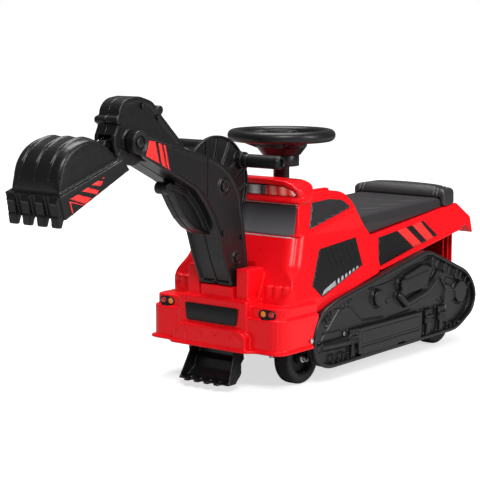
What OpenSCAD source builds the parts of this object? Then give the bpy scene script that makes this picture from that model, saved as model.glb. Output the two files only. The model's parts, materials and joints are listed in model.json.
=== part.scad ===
// Ride-on toy digger: hollow red body, dummy crawler tracks over four wheels, lifting
// seat lid, steered front wheels and a hand-worked digging arm with two levers.
// +Z up, +X the vehicle's left, the arm points along -Y. Millimetres.

/* [Overall] */
// radius of the road wheels
wheel_r = 48; // [47:0.5:48.5]
// width of each road wheel
wheel_w = 32; // [30:0.5:33]
// distance from front to rear axle
wheelbase = 450; // [448:1:452]
// outer half width over the crawler tracks
track_x1 = 150; // [149:0.5:152]

/* [Steering] */
// centreline radius of the steering wheel rim
rim_r = 87.5; // [82:0.5:90]
// radius of the rim section
rim_tube_r = 10.8; // [9:0.1:11.5]
// height of the rim centreline
rim_z = 430; // [428:1:431]
// length of the steering arms
steer_arm = 35; // [34:0.5:36]

/* [Arm] */
// half width of the boom over its plates
boom_x = 36; // [35.5:0.5:37]
// half width of the stick
stick_x = 22; // [21.5:0.5:22.5]
// radius of the fan-ribbed lever disc
lever_r = 86; // [84:0.5:87]
// radius of the lever grips
grip_r = 11.8; // [10.5:0.1:12]
// distance of the grips from the lever pivot
grip_reach = 76.5; // [75:0.5:77]

/* [Seat] */
// half width of the seat
seat_x = 105; // [103:0.5:105.5]
// half width of the backrest
back_x = 109; // [107.5:0.5:109]

/* [Hidden] */
$fn = 48;
// wall of the moulded shells
wall_t = 3;
// running clearance between parts
gap = 0.4;
// radial clearance of shafts in the holes they run in
fit = 0.1;
// bolt radius of the arm pivots and the hole that clears it
bolt_r = 4;
bolt_hole = bolt_r + fit;
// radius of the link pins and of the eyes that run on them
pin_r = 3;
pin_hole = pin_r + fit;
// radius of the axles, of the steering rod and of its sleeve
axle_rod = 5;
rod_r = 6;
sleeve_r = 14.7;
// shank of the self-tapping screws and the hole they bite in
screw_r = 1.6;
screw_hole = 1.9;
// highest point of the roof under the flange of its bush
roof_z = 335;
// half width of the channel round the foot of the arm
channel_x = 41.5;
// top of the middle of the bumper
deck_z = 158;
// top of the cheek blocks beside the arm
cheek_z = 211;
// rear face of the bumper
bumper_back = -226;
// where the track covers and the bumper ends are screwed
track_screw_r = [205, 80];
track_screw_f = [-139, 80];
bumper_screw = [-251, 86];
// front and rear ends of the whole toy, put evenly about the origin
front_y = -770;
rear_y = 341;
frame_y = -(front_y + rear_y) / 2;
axle_f = -wheelbase / 2;
axle_r = wheelbase / 2;
wheel_x0 = 82;
king_x = 72;
col_y = -141;
chassis_z = 100;
chassis_t = 4;
// pivots of the arm as [y, z]
elbow = [-351, 356];
tip = [-565, 444];
base_pin = [-315, 228];
bucket_at = [-594, 424];
// parallel crank shared by levers, stick and bell crank, and the one to the bucket lug
crank = [30.4, 22.8];
lug = [-13, 18];
left_grip = elbow + grip_reach * [sin(59), cos(59)];
right_grip = elbow + grip_reach * [sin(37), cos(37)];
// outer end of the lever grips
grip_end = 110;
hinge_at = [301, 279];
hinge_r = 2.4;
red = [0.85, 0.07, 0.09];
black = [0.13, 0.12, 0.13];
steel = [0.75, 0.76, 0.78];

// ---------- helpers ----------
// a (y, z) outline extruded from x0 to x1
module slab(x0, x1) {
  translate([x0, 0, 0]) rotate([90, 0, 90]) linear_extrude(x1 - x0) children();
}
// an (x, z) outline extruded from y0 to y1
module wall(y0, y1) {
  translate([0, y1, 0]) rotate([90, 0, 0]) linear_extrude(y1 - y0) children();
}
// an (x, y) outline extruded from z0 to z1
module plate(z0, z1) {
  translate([0, 0, z0]) linear_extrude(z1 - z0) children();
}
// cylinder along X through p = [y, z]
module xrod(x0, x1, p, r) {
  translate([x0, p[0], p[1]]) rotate([0, 90, 0]) cylinder(h = x1 - x0, r = r);
}
module zrod(x, y, z0, z1, r) {
  translate([x, y, z0]) cylinder(h = z1 - z0, r = r);
}
// block given by two opposite corners
module block(a, b) {
  translate(a) cube(b - a);
}
module both() {
  children();
  mirror([1, 0, 0]) children();
}
module put() {
  translate([0, frame_y, 0]) children();
}
function unit(v) = v / norm(v);
function left_of(v) = [-v[1], v[0]];
// outline moved inwards by d, for outlines listed counter-clockwise
function inset(p, d) = [for (i = [0:len(p) - 1])
  let (a = unit(p[i] - p[(i + len(p) - 1) % len(p)]), b = unit(p[(i + 1) % len(p)] - p[i]))
  p[i] + (left_of(a) + left_of(b)) * d / (1 + a * b)];
// outline with every corner rounded by up to r in n steps
function rounded(p, r, n = 4) = [for (i = [0:len(p) - 1])
  let (u = p[(i + len(p) - 1) % len(p)] - p[i], v = p[(i + 1) % len(p)] - p[i])
  let (c = min(r, 0.45 * norm(u), 0.45 * norm(v)))
  let (s = p[i] + unit(u) * c, e = p[i] + unit(v) * c)
  for (k = [0:n]) let (t = k / n) (1 - t) * (1 - t) * s + 2 * t * (1 - t) * p[i] + t * t * e];
// a half outline given for x >= 0 mirrored into a whole one
function whole(h) = concat(h, [for (i = [len(h) - 1:-1:0]) [-h[i][0], h[i][1]]]);
// points of an arc about c from angle a to b, angles from +Z towards +Y
function arc(c, r, a, b, n) = [for (k = [0:n]) let (t = a + (b - a) * k / n) c + r * [sin(t), cos(t)]];

// ---------- red shells ----------
// a layer of the bumper: a plan outline set in by t and cut off square at the back
module bumper_part(z0, z1, t, plan) intersection() {
  plate(z0, z1) polygon(inset(plan, t));
  block([-200, -400, 0], [200, bumper_back - t, 400]);
}
module body_mass(t) {
  difference() {
    union() {
      bumper_part(71 - t, 131 - t, t, rounded(whole([[147, -338], [149, -110]]), 30, 5));
      wall(-352 + t, -320) polygon(inset(whole([[82, 71 - 2 * t], [82, 98], [66, 109]]), t));
      // raised middle with the number plate, and the lower lamp pods beside it
      bumper_part(90, deck_z - t, t, rounded(whole([[77, -341], [66, -110]]), 3, 2));
      bumper_part(90, 150 - t, t, rounded(whole([[143, -329], [145, -110]]), 22, 4));
      // hood and side skirts
      intersection() {
        slab(-200, 200) polygon(inset([[-297, 100], [-226, 100], [-212, 126], [-180, 142],
          [-110, 155], [-17, 174], [-5, 172], [-25, 243], [-70, 298], [-212, 268], [-250, 262],
          [-297, 156]], t));
        wall(-400, 100) polygon(inset(whole([[139, 60], [137, 156], [117, 262], [116, 320]]), t));
        plate(50, 350) polygon(inset(rounded(whole([[140, -299], [140, 0]]), 40, 6), t));
      }
      // cab
      intersection() {
        slab(-200, 200) polygon(inset(rounded([[-251, 240], [-100, 240], [-59, 287], [-66, 305],
          [-92, 327], [-116, 334], [-228, 336], [-236, 318]], 10, 3), t));
        wall(-400, 100) polygon(inset(whole([[117, 200], [116, 266], [106, 340]]), t));
        plate(200, 400) polygon(inset(rounded(whole([[118, -252], [118, -30]]), 28, 6), t));
      }
      // roof light box
      intersection() {
        plate(322 + t, 370) polygon(inset(rounded(whole([[116, -240], [115, -188]]), 24, 6), t));
        wall(-300, -100) polygon(inset(rounded(whole([[116, 300], [117, 330], [112, 348],
          [86, 359]]), 14, 4), t));
      }
    }
    // channel in the hood behind the arm
    block([-channel_x - t, -400, deck_z - t], [channel_x + t, -270 + t, 300]);
  }
}
module front_shell() put() color(red) {
  difference() {
    union() {
      body_mass(0);
      // bottom flange of the bumper
      bumper_part(71, 76, 0,
        rounded(whole([[84, -356], [97, -342], [150, -342], [151.6, -110]]), 22, 4));
      // cheek blocks beside the arm and a raised rib each side of the roof
      both() block([channel_x, -325, 150], [67, -280, cheek_z]);
      both() block([88, -187, 328], [99, -131, 340]);
      // plinth under the foot of the arm
      block([-36, -328, 150], [36, -283, 179]);
    }
    body_mass(wall_t);
    both() block([channel_x + wall_t, -325 + wall_t, 149], [67 - wall_t, -283, cheek_z - wall_t]);
    block([-36 + wall_t, -328 + wall_t, 149], [36 - wall_t, -283 - wall_t, 179 - wall_t]);
    zrod(0, col_y, 300, 400, 17.3);
    // open floor under the hood
    slab(-126, 126) polygon([[-208, 120], [-25, 120], [-25, 176], [-180, 152], [-208, 140]]);
    // open underside and the mouth towards the front wheels
    block([-146, -335, 60], [146, -200, 72]);
    block([-134, -232, 60], [134, 0, 122]);
    // room for the track covers and the holes of the bumper screws
    both() slab(130, 160) polygon(inset(track_line, -1.5));
    both() xrod(130, 160, bumper_screw, screw_hole + fit);
  }
  // bosses the floor plate and the scoop are screwed to
  both() difference() {
    zrod(30, -308, chassis_z + chassis_t + fit, 177.5, 6);
    zrod(30, -308, 90, 124, screw_hole);
  }
  // post inside the foot of the arm
  difference() {
    slab(-14, 14) polygon([[-313, 177], [-291, 177], [-291, 236], [-326, 236], [-326, 222],
      [-313, 192]]);
    xrod(-30, 30, base_pin, bolt_hole);
  }
}
module rear_body() difference() {
  union() {
    intersection() {
      slab(-200, 200) polygon([[-4, 176], [300, 223], [318, 228], [341, 210], [341, 243],
        [297, 274], [-23.4, 240.6]]);
      wall(-400, 400) polygon(whole([[131, 160], [106, 290]]));
    }
    block([-100, 2, chassis_z + chassis_t + fit], [100, 299, 240]);
  }
  // hollow inside
  intersection() {
    slab(-200, 200) polygon([[-40, 80], [296, 80], [296, 226], [318, 231], [338, 214], [338, 241.4],
      [295.6, 270.6], [-40, 235.5]]);
    union() {
      wall(-400, 400) polygon(whole([[128.6, 150], [103, 290]]));
      block([-97, -60, 80], [97, 296, 200]);
    }
  }
  // everything in front of the slanting joint with the front shell
  slab(-200, 200) polygon([[-60, 60], [2, 60], [2, 170], [-4, 172], [-24, 242.5], [-60, 250]]);
  // mouth of the storage tray
  block([-76, 30, 200], [76, 234, 290]);
}
module rear_shell() put() color(red) {
  rear_body();
  // bosses for the screws from below
  both() difference() {
    block([54, 278, chassis_z + chassis_t + fit], [66, 298, 124]);
    zrod(60, 285, 90, 120, screw_hole);
  }
}
module shell_hinge() put() color(black) both() difference() {
  slab(26, 46) polygon([[295.6, 274.2], [297, 274.3], [306, 267.9], [311, 264.4], [306, 280],
    [301, 284.5], [296.4, 281]]);
  xrod(20, 60, hinge_at, hinge_r + fit);
}

// ---------- chassis ----------
module chassis() put() color(black) difference() {
  union() {
    plate(chassis_z, chassis_z + chassis_t) polygon(whole([[60, -322], [60, -160], [126, -152],
      [126, 232], [90, 292]]));
    // king pin bosses, rear axle brackets and track lugs
    both() zrod(king_x, axle_f, 66, chassis_z + 1, 8);
    both() block([54, -240, chassis_z], [80.5, -210, chassis_z + chassis_t]);
    both() slab(60, 66) polygon([[200, chassis_z + 1], [215, 36], [235, 36], [250, chassis_z + 1]]);
    both() block([118, 194, 70], [124, 216, chassis_z + 1]);
    both() block([118, -150, 70], [124, -128, chassis_z + 1]);
    both() block([53, 277, chassis_z - 4], [67, 292, chassis_z + 1]);
  }
  both() zrod(king_x, axle_f, 50, 120, axle_rod + fit);
  both() xrod(50, 80, [axle_r, wheel_r], axle_rod + fit);
  both() xrod(110, 130, track_screw_r, screw_hole);
  both() xrod(110, 130, track_screw_f, screw_hole);
  zrod(0, col_y, 80, 120, 9);
  both() zrod(30, -308, 80, 120, screw_hole);
  both() zrod(60, 285, 80, 120, screw_hole);
}
module storage_tray() put() color(black) {
  difference() {
    block([-75, 31, chassis_z + chassis_t + fit], [75, 233, 250]);
    block([-72, 34, chassis_z + chassis_t + 3], [72, 230, 260]);
    slab(-90, 90) polygon([[20, 243.6], [20, 300], [240, 300], [240, 266.5]]);
  }
}

// ---------- seat ----------
module seat_body(t) {
  intersection() {
    slab(-200, 200) polygon(inset([[-21, 242], [295, 274.6], [295, 288], [248.6, 287],
      [-50, 278]], t));
    wall(-400, 400) polygon(inset(whole([[seat_x, 200], [seat_x, 266], [seat_x - 3, 276],
      [seat_x - 11, 290]]), t));
  }
}
module seat_lid() put() color(black) difference() {
  union() {
    difference() {
      seat_body(0);
      intersection() {
        seat_body(wall_t);
        union() {
          block([-200, -100, 200], [200, 239.6, 300]);
          block([9 - seat_x, -100, 200], [seat_x - 9, 288, 300]);
        }
      }
      // open underside
      slab(-seat_x + 9, seat_x - 9) polygon([[-17, 236], [288, 268], [288, 277.5], [-17, 246]]);
      // narrower tail that the backrest wraps round
      both() block([seat_x - 6, 248.6, 200], [seat_x + 1, 300, 300]);
    }
    // hinge lugs behind the seat
    both() slab(47, 62) polygon([[290, 276], [296, 275.6], [305, 277], [305.5, 281], [301, 283.6],
      [290, 284]]);
  }
  xrod(-70, 70, hinge_at, hinge_r + fit);
  both() xrod(26 - gap, 47, hinge_at, 6);
}
module backrest() put() color(black) difference() {
  intersection() {
    slab(-back_x, back_x) polygon(rounded([[249, 270.2], [290, 274.8], [291, 303],
      [284, 312], [262, 312], [249, 296]], 8, 4));
    wall(200, 330) polygon(rounded(whole([[back_x, 260], [back_x - 2, 303], [back_x - 40, 310],
      [20, 312]]), 10, 5));
    plate(250, 330) polygon(rounded([[-back_x, 249], [back_x, 249], [back_x, 291],
      [-back_x, 291]], 9, 4));
  }
  // seat of the block on the tail of the lid, and its hollow
  slab(5.7 - seat_x, seat_x - 5.7) polygon([[240, 260], [300, 260], [300, 288.4], [240, 287.2]]);
  slab(-seat_x + 6, seat_x - 6) polygon([[256, 280], [284, 280], [284, 298], [278, 303], [266, 303]]);
}
module seat_hinge_pin() put() color(steel) xrod(-64, 64, hinge_at, hinge_r);

// ---------- steering ----------
module steering_wheel() put() color(black) difference() {
  union() {
    translate([0, col_y, rim_z]) rotate_extrude($fn = 72) translate([rim_r, 0])
      circle(r = rim_tube_r, $fn = 36);
    zrod(0, col_y, 410, 427, 46.7);
    translate([0, col_y, 394]) cylinder(h = 16, r1 = 34.6, r2 = 46.7);
    for (a = [90, 210, 330]) translate([0, col_y, 417]) rotate([0, 0, a])
      translate([30, -12, 0]) cube([rim_r - 34, 24, 9]);
  }
  zrod(0, col_y, 420, 430, 31);
  zrod(0, col_y, 380, 424, rod_r + fit);
}
module horn_button() put() color(black) union() {
  zrod(0, col_y, 424.5, 436, 30.4);
  zrod(0, col_y, 436, 438, 27);
}
module column_sleeve() put() color(black) difference() {
  union() {
    zrod(0, col_y, 140, 393.8, sleeve_r);
    zrod(0, col_y, 374.5, 393.8, 32.5);
  }
  zrod(0, col_y, 130, 400, rod_r + fit);
}
module roof_bush() put() color(black) difference() {
  union() {
    zrod(0, col_y, roof_z - 6, roof_z + 1.8, 17.2);
    zrod(0, col_y, roof_z, roof_z + 1.8, 21);
  }
  zrod(0, col_y, 300, 340, sleeve_r + fit);
}
module column_foot_bush() put() color(black) difference() {
  union() {
    zrod(0, col_y, 99, 106, 8.9);
    zrod(0, col_y, 104.2, 107, 13);
  }
  zrod(0, col_y, 80, 140, rod_r + fit);
}
module steering_rod() put() color(steel) union() {
  zrod(0, col_y, 66, 419.6, rod_r);
  block([-7, col_y - steer_arm, 66], [7, col_y, 72]);
  zrod(0, col_y - steer_arm, 56, 72, 7);
}
module tie_rod() put() color(steel) difference() {
  union() {
    block([-king_x, axle_f - steer_arm - 5, 57.6], [king_x, axle_f - steer_arm + 5, 62.4]);
    both() zrod(king_x, axle_f - steer_arm, 57.6, 62.4, 6.5);
    block([-6, axle_f - steer_arm, 57.6], [6, col_y - steer_arm, 62.4]);
    zrod(0, col_y - steer_arm, 57.6, 62.4, 11);
  }
  both() zrod(king_x, axle_f - steer_arm, 50, 70, pin_hole);
  zrod(0, col_y - steer_arm, 50, 70, 7 + fit);
}
module knuckle() {
  block([64, axle_f - 8, 38], [80, axle_f + 8, 64.4]);
  zrod(king_x, axle_f, 60, 108, axle_rod);
  block([king_x - 5, axle_f - steer_arm, 48], [king_x + 5, axle_f, 56]);
  zrod(king_x, axle_f - steer_arm, 48, 56, 6);
  zrod(king_x, axle_f - steer_arm, 50, 66, pin_r);
  xrod(72, 117.5, [axle_f, wheel_r], axle_rod);
}
module knuckle_left() put() color(steel) knuckle();
module knuckle_right() put() color(steel) mirror([1, 0, 0]) knuckle();
module king_clip() {
  difference() {
    zrod(king_x, axle_f, chassis_z + chassis_t + 0.3, 107, 9);
    zrod(king_x, axle_f, 90, 120, axle_rod + fit);
  }
}
module king_clip_left() put() color(steel) king_clip();
module king_clip_right() put() color(steel) mirror([1, 0, 0]) king_clip();

// ---------- wheels ----------
module road_wheel(y) {
  difference() {
    translate([wheel_x0, y, wheel_r]) rotate([0, 90, 0]) rotate_extrude($fn = 60)
      polygon([[axle_rod + fit, 2], [12, 2], [12, 7], [27, 7], [31, 0], [wheel_r - 4, 0],
        [wheel_r, 4], [wheel_r, wheel_w - 4], [wheel_r - 4, wheel_w], [31, wheel_w], [27, 22],
        [12, 22], [12, 27], [axle_rod + fit, 27]]);
    for (a = [10:20:359]) translate([wheel_x0 - 1, y, wheel_r]) rotate([a, 0, 0])
      translate([0, -1.2, wheel_r - 1.6]) cube([wheel_w + 2, 2.4, 4]);
  }
}
module axle_nut(y, x0, x1) {
  difference() {
    union() {
      xrod(x0, x1, [y, wheel_r], 9);
      xrod(x1, x1 + 7, [y, wheel_r], 7);
    }
    xrod(x0 - 1, x1 + 4, [y, wheel_r], axle_rod + fit);
  }
}
module wheel_front_left() put() color(black) road_wheel(axle_f);
module wheel_front_right() put() color(black) mirror([1, 0, 0]) road_wheel(axle_f);
module wheel_rear_left() put() color(black) road_wheel(axle_r);
module wheel_rear_right() put() color(black) mirror([1, 0, 0]) road_wheel(axle_r);
module axle_nut_front_left() put() color(steel) axle_nut(axle_f, 110, 114);
module axle_nut_front_right() put() color(steel) mirror([1, 0, 0]) axle_nut(axle_f, 110, 114);
module axle_nuts_rear() put() color(steel) both() axle_nut(axle_r, 110, 114);
module rear_axle() put() color(steel) xrod(-117.5, 117.5, [axle_r, wheel_r], axle_rod);

// ---------- dummy crawler tracks ----------
track_line = rounded([[-199, 27], [240, 31], [300, 60], [312, 92], [300, 120], [274, 145],
  [143, 197], [119, 200], [-38, 170], [-173, 146], [-222, 129], [-244, 84], [-238, 45]], 22, 4);
module track() {
  x_out = track_x1;
  difference() {
    union() {
      slab(131, x_out) polygon(track_line);
      // tongue that the end of the bumper is screwed to
      slab(139, 144.6) polygon([[-262, 77], [-232, 70], [-232, 102], [-262, 95]]);
    }
    slab(x_out - 11, x_out + 1) polygon(inset(track_line, 6));
    slab(130, x_out - 14) polygon(inset(track_line, 4));
    xrod(120, 160, track_screw_r, screw_hole);
    xrod(120, 160, track_screw_f, screw_hole);
    xrod(130, 150, bumper_screw, screw_hole);
  }
  // relief on the face
  slab(x_out - 12, x_out) polygon(rounded([[-106, 37], [107, 38], [107, 86], [-105, 86]], 5, 3));
  xrod(x_out - 12, x_out - 3, [-33, 131], 15);
  xrod(x_out - 12, x_out - 4, [258, 104], 21);
  slab(x_out - 12, x_out - 4) polygon(rounded([[40, 124], [136, 130], [139, 162], [38, 150]], 8, 3));
  slab(x_out - 12, x_out - 4) polygon(rounded([[33, 122], [57, 99], [132, 112], [160, 132],
    [154, 141], [128, 122], [62, 109], [40, 129]], 5, 3));
  slab(x_out - 12, x_out - 5) polygon([[-228, 60], [-122, 64], [-122, 76], [-228, 72]]);
  // lugs the screws pull up to
  difference() {
    union() {
      xrod(124.4, 138, track_screw_r, 6);
      xrod(124.4, 138, track_screw_f, 6);
    }
    xrod(120, 140, track_screw_r, screw_hole);
    xrod(120, 140, track_screw_f, screw_hole);
  }
}
module track_left() put() color(black) track();
module track_right() put() color(black) mirror([1, 0, 0]) track();

// ---------- screws and bolts ----------
// pan-head screw along X, head on the outside at x1
module side_screw(x0, x1, p) {
  xrod(x0, x1, p, screw_r);
  xrod(x1, x1 + 2.6, p, 4);
}
module track_screws() put() color(steel) both() {
  side_screw(116, track_x1 - 10.9, track_screw_r);
  side_screw(116, track_x1 - 10.9, track_screw_f);
}
module bumper_screws() put() color(steel) both() side_screw(135, 148.8, bumper_screw);
module base_screws() put() color(steel) {
  for (p = [[60, 285], [30, -308]]) both() {
    zrod(p[0], p[1], 95.8, 118, screw_r);
    zrod(p[0], p[1], 93.2, 95.8, 4);
  }
}
// through bolt along X with a head and a nut
module cross_bolt(x1, p) {
  xrod(-x1, x1, p, bolt_r);
  xrod(x1 - 0.01, x1 + 3, p, 7.5);
}
module cross_nut(x1, p) {
  difference() {
    translate([-x1 - 4, p[0], p[1]]) rotate([0, 90, 0]) cylinder(h = 4, r = 7.5, $fn = 6);
    xrod(-x1 - 5, -x1 + 1, p, bolt_hole);
  }
}

// ---------- boom ----------
boom_line = [[-560, 424.5], [-500, 394], [-453, 371], [-420, 354], [-394, 327], [-378, 305],
  [-362, 276], [-346, 229], [-323, 180], [-283, 182], [-285, 223], [-293, 280], [-302, 315],
  [-304, 337], [-316, 357], [-329, 374], [-349, 391], [-372, 403], [-399, 412], [-453, 428],
  [-502, 444], [-556, 461.5]];
web_line = [[-474, 362], [-458, 351], [-442, 326], [-427, 306], [-407, 288], [-384, 276],
  [-360, 272], [-376, 300], [-392, 324], [-418, 351], [-452, 368]];
knob_at = [-464, 360];
boom_screw_f = [-352, 275];
boom_screw_r = [-302, 263];
stick_screw_f = [-540, 500];
stick_screw_r = [-503, 480];
module boom_half() {
  difference() {
    union() {
      difference() {
        union() {
          slab(0.15, boom_x) polygon(boom_line);
          xrod(24, boom_x + 4, tip, 19.5);
        }
        slab(-1, boom_x - wall_t) polygon(inset(boom_line, wall_t));
        // open top, rear and tip where the stick and levers work
        slab(-1, 23.5) polygon([[-540, 425], [-453, 390], [-400, 375], [-330, 330], [-312, 283],
          [-270, 283], [-270, 360], [-300, 430], [-400, 480], [-540, 520]]);
        block([-1, -640, 380], [23.5, -532, 520]);
        // open foot round the post
        block([-1, -319, 170], [15, -287, 190]);
      }
      // web under the elbow with its cross boss
      difference() {
        slab(0.15, 14) polygon(web_line);
        slab(10, 15) polygon(inset(web_line, 5));
        slab(-1, boom_x) polygon(inset(boom_line, 0.2));
      }
      difference() {
        xrod(0.15, 14, knob_at, 10.5);
        slab(-1, boom_x) polygon(inset(boom_line, 0.2));
      }
      // pivot and screw bosses
      xrod(24, boom_x - 1, tip, 12);
      xrod(23, boom_x - 1, elbow, 12);
      xrod(15, boom_x - 1, base_pin, 9);
      xrod(0.15, boom_x - 1, boom_screw_f, 5.5);
      xrod(0.15, boom_x - 1, boom_screw_r, 5.5);
    }
    xrod(-1, 60, tip, bolt_hole);
    xrod(-1, 60, elbow, bolt_hole);
    xrod(-1, 60, base_pin, bolt_hole);
    xrod(boom_x, boom_x + 6, tip, 11);
    xrod(-1, 60, boom_screw_f, screw_hole);
    xrod(-1, 60, boom_screw_r, screw_hole);
  }
}
module boom_left() put() color(black) boom_half();
module boom_right() put() color(black) mirror([1, 0, 0]) boom_half();
module boom_screws() put() color(steel) {
  side_screw(-30, boom_x + 0.2, boom_screw_f);
  side_screw(-30, boom_x + 0.2, boom_screw_r);
}
module base_bolt() put() color(steel) cross_bolt(boom_x + 0.2, base_pin);
module pivot_bolts() put() color(steel) {
  cross_bolt(boom_x + 0.2, elbow);
  cross_bolt(boom_x + 0.2, tip);
}
module arm_nuts() put() color(steel) for (p = [base_pin, elbow, tip]) cross_nut(boom_x + 0.2, p);
module elbow_spacer() put() color(black) difference() {
  xrod(-13.6, 13.6, elbow, 8);
  xrod(-20, 20, elbow, bolt_hole);
}

// ---------- levers ----------
fan_line = concat([elbow + [-30, -24]], [elbow + [30, -36]], arc(elbow, lever_r, 118, -46, 26));
fan_at = elbow + [-27, -54];
module lever_left() put() color(black) difference() {
  union() {
    slab(14, 16.5) polygon(fan_line);
    // rim, ribs and hub
    difference() {
      slab(14, 21) polygon(fan_line);
      slab(13, 22) polygon(concat([elbow + [-26, -20]], [elbow + [27, -32]],
        arc(elbow, lever_r - 3, 115, -43, 26)));
    }
    intersection() {
      slab(14, 20.5) polygon(fan_line);
      for (a = [-14, 0, 14, 27, 41, 54, 66]) translate([14, fan_at[0], fan_at[1]])
        rotate([-a, 0, 0]) translate([0, -1, 20]) cube([6.5, 2, 150]);
    }
    xrod(14, 21, elbow, 13);
    xrod(14, 30, left_grip, 15);
    xrod(14, 21, elbow + crank, 7);
    xrod(8.4, 20, elbow + crank, pin_r);
  }
  xrod(0, 40, elbow, bolt_hole);
  xrod(24, 40, left_grip, grip_r + fit);
  xrod(0, 40, left_grip, screw_hole);
}
module lever_right() put() color(black) mirror([1, 0, 0]) difference() {
  union() {
    slab(14, 21) polygon(rounded([elbow + [-13, -12], elbow + [12, -12], elbow + crank + [8, -6],
      right_grip + [15, -6], right_grip + [10, 12], right_grip + [-12, 10]], 8, 4));
    xrod(14, 21, elbow, 13);
    xrod(14, 30, right_grip, 15);
    xrod(14, 21, elbow + crank, 7);
    xrod(8.4, 20, elbow + crank, pin_r);
  }
  xrod(0, 40, elbow, bolt_hole);
  xrod(24, 40, right_grip, grip_r + fit);
  xrod(0, 40, right_grip, screw_hole);
}
module grip(p) {
  difference() {
    union() {
      xrod(24.2, 107, p, grip_r);
      xrod(107, grip_end, p, grip_r - 2);
    }
    xrod(grip_end - 8, grip_end + 1, p, grip_r - 5);
    xrod(20, grip_end - 6, p, screw_hole);
  }
}
module grip_left() put() color(black) grip(left_grip);
module grip_right() put() color(black) mirror([1, 0, 0]) grip(right_grip);
module grip_screw(p) {
  xrod(13.6, grip_end - 7.8, p, screw_r);
  xrod(grip_end - 7.8, grip_end - 5, p, 4);
}
module grip_screw_left() put() color(steel) grip_screw(left_grip);
module grip_screw_right() put() color(steel) mirror([1, 0, 0]) grip_screw(right_grip);
// flat link between two pins with an eye at each end
module link(x0, x1, a, b, eye, hole_a, hole_b) {
  n = left_of(unit(b - a)) * (eye - 3);
  difference() {
    union() {
      slab(x0, x1) polygon([a - n, b - n, b + n, a + n]);
      xrod(x0, x1, a, eye);
      xrod(x0, x1, b, eye);
    }
    xrod(x0 - 1, x1 + 1, a, hole_a);
    xrod(x0 - 1, x1 + 1, b, hole_b);
  }
}
module drag_link_left() put() color(steel)
  link(9, 13, elbow + crank, tip + crank, 7, pin_hole, pin_hole);
module drag_link_right() put() color(steel)
  link(-13, -9, elbow + crank, tip + crank, 7, pin_hole, pin_hole);

// ---------- stick ----------
stick_line = rounded([[-572, 406], [-556, 406], [-546, 412], [-528, 424], [-470, 408], [-440, 410],
  [-434, 428], [-494, 484], [-515, 507], [-549, 517], [-580, 513], [-595, 499], [-598, 473],
  [-607, 456], [-608, 440], [-596, 416]], 9, 3);
module stick_half() {
  difference() {
    union() {
      slab(0.15, stick_x) polygon(stick_line);
      xrod(0.15, stick_x + 2, [-499, 492], 7);
      xrod(0.15, stick_x + 2, [-598, 480], 6.2);
    }
    difference() {
      slab(-1, stick_x - wall_t) polygon(inset(stick_line, wall_t));
      xrod(stick_x - 3.6, stick_x, tip, 9);
      xrod(0.15, stick_x, stick_screw_f, 5);
      xrod(0.15, stick_x, stick_screw_r, 5);
    }
    // open underside, tail and the slot for the bucket
    slab(-1, stick_x - wall_t) polygon([[-562, 400], [-552, 424], [-520, 440], [-470, 430],
      [-448, 436], [-425, 436], [-425, 400], [-470, 395], [-530, 396]]);
    block([-1, -630, 395], [14.4, -566, 457]);
    // slot the drag link works in when the stick is lifted
    slab(8.4, 13.6) polygon([[-488, 466], [-488, 482], [-420, 442], [-420, 424], [-448, 430]]);
    xrod(-1, 30, tip, bolt_hole);
    xrod(-1, 30, bucket_at, bolt_hole);
    xrod(stick_x - 1.4, 30, bucket_at, 7.2);
    xrod(-1, 30, stick_screw_f, screw_hole);
    xrod(-1, 30, stick_screw_r, screw_hole);
  }
}
module stick_left() put() color(black) {
  stick_half();
  // boss and moulded pin for the drag link
  xrod(14, stick_x - 1, tip + crank, 6.5);
  xrod(8.4, stick_x - 1, tip + crank, pin_r);
}
module stick_right() put() color(black) mirror([1, 0, 0]) stick_half();
module stick_screws() put() color(steel) {
  side_screw(-20, stick_x + 0.2, stick_screw_f);
  side_screw(-20, stick_x + 0.2, stick_screw_r);
}
module tip_sleeve() put() color(black) difference() {
  xrod(-13.6, 18, tip, 6.5);
  xrod(-20, 20, tip, bolt_hole);
}
module bell_crank() put() color(steel) difference() {
  union() {
    slab(-18, -14) polygon([tip + [-7, -6], tip + [9, -7], tip + crank + [6, -4], tip + crank + [-4, 6],
      tip + [3, 12], tip + lug + [5, 4], tip + lug + [-6, -3]]);
    xrod(-18, -14, tip, 9);
    xrod(-18, -14, tip + crank, 6.5);
    xrod(-18, -14, tip + lug, 6);
    xrod(-18, -8.6, tip + crank, pin_r);
    xrod(-18, -8.6, tip + lug, pin_r);
  }
  xrod(-20, 0, tip, bolt_hole);
}
module crank_bush() put() color(steel) difference() {
  xrod(-13, -9, tip + lug, 4.4);
  xrod(-20, 0, tip + lug, pin_hole);
}
module bucket_link() put() color(steel)
  link(-13, -9, tip + lug, bucket_at + lug, 7, 4.4 + fit, pin_hole);

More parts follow.
